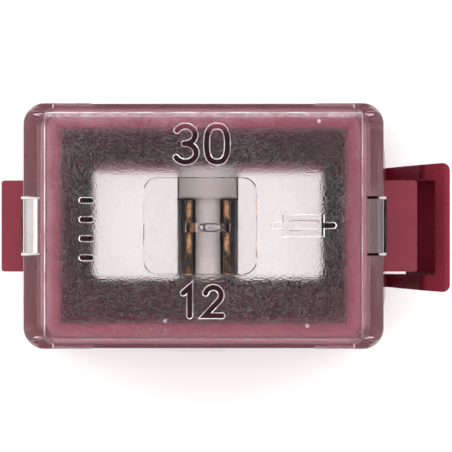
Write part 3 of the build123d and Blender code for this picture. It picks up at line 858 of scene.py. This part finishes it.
def pale_insulator(colours):
    """Pale grey plastic, matt, warmer and mottled in places, with painted shade towards the plates
    and over the shelf.
    """
    material, tree, shader = new_finish("pale_insulator")
    place = in_millimetres(tree)
    x, y, _ = axes(tree, place)
    aside = distance(tree, x, ELEMENT_X)
    # Painted shade over the shelf and between the plates, darker towards the plates.
    on_shelf = product(tree, ramp(tree, y, *SHELF_Y), ramp(tree, aside, 0.0, 1.9, 0.38, 0.65))
    between = product(tree, fall(tree, y, *SHELF_Y), ramp(tree, aside, 0.15, 1.15))
    painted_shade = maths(tree, "ADD", on_shelf, between)
    cloud = noise(tree, place, 0.9, 4.0, 0.6)
    grain = noise(tree, place, 8.0)
    warm = tuple(part * share for part, share in zip(colours.insulator, (0.98, 0.92, 0.86)))
    unshaded = blend(tree, ramp(tree, cloud, 0.35, 0.65), colours.insulator, warm)
    fill(tree, shader.inputs["Base Color"],
         blend(tree, painted_shade, unshaded, times(colours.insulator, 0.15)))
    fill(tree, shader.inputs["Roughness"], ramp(tree, grain, 0.3, 0.7, 0.5, 0.62))
    fill(tree, shader.inputs["Normal"], bump(tree, grain, 0.01, 0.6))
    return material


def floor_finish(colours):
    """Smooth white board with painted shade: it gets greyer away from the object, as if the light
    fell off.
    """
    material, tree, shader = new_finish("white_board")
    x, y, _ = axes(tree, in_millimetres(tree))
    away = maths(tree, "SQRT", maths(tree, "MULTIPLY_ADD", x, x, product(tree, y, y)))
    fill(tree, shader.inputs["Base Color"],
         blend(tree, ramp(tree, away, *FLOOR_GREYER), colours.floor, times(colours.floor, 0.5)))
    shader.inputs["Roughness"].default_value = 0.85
    shader.inputs["Specular IOR Level"].default_value = 0.1
    return material


# ---------------------------------------------------------------- studio

def lay_floor(scene, studio):
    """A round floor: rings of points at equal steps of radius and of angle, under the foot."""
    radius = np.linspace(0, studio.floor_radius / MM, 6)[:, None]
    angle = np.linspace(0, 2 * np.pi, 48, endpoint=False)[None]
    disc = np.stack(np.broadcast_arrays(
        radius * np.cos(angle), radius * np.sin(angle), -FLOOR_DROP), -1)
    floor = mesh_object("floor", [(disc, False, True)])
    if floor.data.polygons[0].normal.z < 0:
        floor.data.flip_normals()
    dress(floor, floor_finish(scene.fuse_colours))


def raise_tent(scene, studio):
    """A white tent of light, darker straight above, at the horizon and towards +X and -Y."""
    world = bpy.data.worlds.new("studio_sky")
    world.use_nodes = True
    scene.world = world
    tree = world.node_tree
    sky = tree.nodes["Background"]
    way = tree.nodes.new("ShaderNodeTexCoord")
    east, north, rise = axes(tree, way.outputs["Generated"])
    opening = ramp(tree, rise, 0.980, 0.994, studio.surround, studio.opening)
    horizon = ramp(tree, rise, 0.0, 0.4, 0.65, 1.0)
    slant = maths(tree, "MULTIPLY_ADD", north, -0.6, east)
    aside = ramp(tree, slant, -1.0, 1.0, 1 + studio.fall_off, 1 - studio.fall_off)
    fill(tree, sky.inputs["Strength"], product(tree, opening, horizon, aside))
    sky.inputs["Color"].default_value = (1, 1, 1, 1)


def hang_panels(scene, studio):
    """Square soft panels round the part, each turned towards the origin."""
    for name, place, size in PANELS:
        light = bpy.data.lights.new(name, "AREA")
        light.energy, light.size = studio.panel_power, size
        lamp = bpy.data.objects.new(name, light)
        lamp.location = place
        lamp.rotation_mode = "QUATERNION"
        lamp.rotation_quaternion = (-lamp.location).to_track_quat("-Z", "Y")
        lamp.visible_camera = False
        scene.collection.objects.link(lamp)


def place_camera(scene, studio):
    """A camera straight above, so far away that the view at the cover's top has its width."""
    camera = bpy.data.objects.new("camera", bpy.data.cameras.new("camera"))
    camera.data.lens = studio.lens
    reach = studio.view_width * MM * studio.lens / camera.data.sensor_width
    camera.location = (studio.view_x * MM, 0, COVER_TOP * MM + reach)
    camera.data.clip_start, camera.data.clip_end = reach / 2, reach * 2
    scene.collection.objects.link(camera)
    scene.camera = camera


# ---------------------------------------------------------------- operators

class FUSE_OT_housing(bpy.types.Operator):
    """Gives the moulded housing its maroon finish."""

    bl_idname = "fuse.housing"
    bl_label = "Maroon housing"

    def execute(self, context):
        dress(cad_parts["housing"], maroon_plastic(context.scene.fuse_colours))
        return {"FINISHED"}


class FUSE_OT_clear_cover(bpy.types.Operator):
    """Builds the clear cover with its raised marks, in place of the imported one."""

    bl_idname = "fuse.clear_cover"
    bl_label = "Clear cover"

    def execute(self, context):
        marks = context.scene.fuse_marks
        plate = COVER_TOP - marks.lens_rise
        glyphs = number_strokes(
            marks.upper_number, (UPPER_NUMBER_X, marks.upper_y), marks.upper_height)
        glyphs += number_strokes(
            marks.lower_number, (LOWER_NUMBER_X, marks.lower_y), marks.lower_height)
        glyphs += fuse_symbol(np.array(SYMBOL))
        glyphs += plain_dots(np.array(DOTS), DOT_COUNT, DOT_PITCH)
        cover = solid_copy("cover", "clear_cover")
        ease_rim(cover, marks.rim_play)
        for layer in range(max(len(glyph) for glyph in glyphs)):    # crossing strokes apart
            strokes = [raised_stroke(*glyph[layer], marks, plate)
                       for glyph in glyphs if len(glyph) > layer]
            if layer == 0:
                strokes += [pip(middle, marks.pip, marks, plate) for middle in PIPS]
            join_solid(cover, mesh_object("raised_marks", strokes))
        crisp(cover, 22)
        dress(cover, clear_plastic(context.scene.fuse_colours, marks))
        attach(cover, "root")
        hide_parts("cover")
        return {"FINISHED"}


class FUSE_OT_fuse_element(bpy.types.Operator):
    """Gives the folded fuse element its tin plating and copper edges."""

    bl_idname = "fuse.fuse_element"
    bl_label = "Fuse element"

    def execute(self, context):
        dress(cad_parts["fuse_element"], tinned_copper(context.scene.fuse_colours))
        return {"FINISHED"}


class FUSE_OT_tin_drop(bpy.types.Operator):
    """Builds the smooth puddle of tin on the link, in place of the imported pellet."""

    bl_idname = "fuse.tin_drop"
    bl_label = "Tin on the link"

    def execute(self, context):
        tin = mesh_object("tin_drop", tin_puddle())
        crisp(tin, 50)
        dress(tin, smooth_tin(context.scene.fuse_colours))
        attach(tin, "root")
        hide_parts("tin_pellet")
        return {"FINISHED"}


class FUSE_OT_springs(bpy.types.Operator):
    """Gives both contact springs their rolled steel finish."""

    bl_idname = "fuse.springs"
    bl_label = "Contact springs"

    def execute(self, context):
        steel = spring_steel(context.scene.fuse_colours)
        for side in ("left", "right"):
            dress(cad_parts["contact_spring_" + side], steel)
        return {"FINISHED"}


class FUSE_OT_insulator(bpy.types.Operator):
    """Gives the barrier between the terminals its pale finish."""

    bl_idname = "fuse.insulator"
    bl_label = "Insulator"

    def execute(self, context):
        dress(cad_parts["insulator"], pale_insulator(context.scene.fuse_colours))
        return {"FINISHED"}


class FUSE_OT_studio(bpy.types.Operator):
    """Builds the white floor, the soft lights and the camera above the cover."""

    bl_idname = "fuse.studio"
    bl_label = "Studio"

    def execute(self, context):
        scene, studio = context.scene, context.scene.fuse_studio
        lay_floor(scene, studio)
        raise_tent(scene, studio)
        hang_panels(scene, studio)
        place_camera(scene, studio)
        scene.view_settings.view_transform = "Standard"
        paths = scene.cycles                        # light turns many corners in clear walls
        paths.max_bounces, paths.transmission_bounces, paths.glossy_bounces = 20, 20, 16
        return {"FINISHED"}


class FUSE_PT_panel(bpy.types.Panel):
    """The sidebar panel with each piece's button and sizes."""

    bl_idname = "FUSE_PT_panel"
    bl_label = "Cartridge fuse"
    bl_space_type = "VIEW_3D"
    bl_region_type = "UI"
    bl_category = "Cartridge fuse"

    def draw(self, context):
        for operator in OPERATORS:
            self.layout.operator(operator.bl_idname)
        for group in (context.scene.fuse_marks, context.scene.fuse_colours,
                      context.scene.fuse_studio):
            column = self.layout.column()
            for key in group.__annotations__:
                column.prop(group, key)


OPERATORS = (FUSE_OT_housing, FUSE_OT_clear_cover, FUSE_OT_fuse_element, FUSE_OT_tin_drop,
             FUSE_OT_springs, FUSE_OT_insulator, FUSE_OT_studio)
GROUPS = {"fuse_marks": CoverMarks, "fuse_colours": FuseColours, "fuse_studio": StudioSettings}


def register():
    """Registers the classes and hangs the property groups on the scene."""
    for kind in (*GROUPS.values(), *OPERATORS, FUSE_PT_panel):
        bpy.utils.register_class(kind)
    for name, group in GROUPS.items():
        setattr(bpy.types.Scene, name, PointerProperty(type=group))


def unregister():
    """Takes the property groups and the classes away again."""
    for name in GROUPS:
        delattr(bpy.types.Scene, name)
    for kind in (FUSE_PT_panel, *reversed(OPERATORS), *GROUPS.values()):
        bpy.utils.unregister_class(kind)


def main():
    register()
    for operator in OPERATORS:
        group, name = operator.bl_idname.split(".")
        getattr(getattr(bpy.ops, group), name)()


if __name__ == "__main__":
    main()
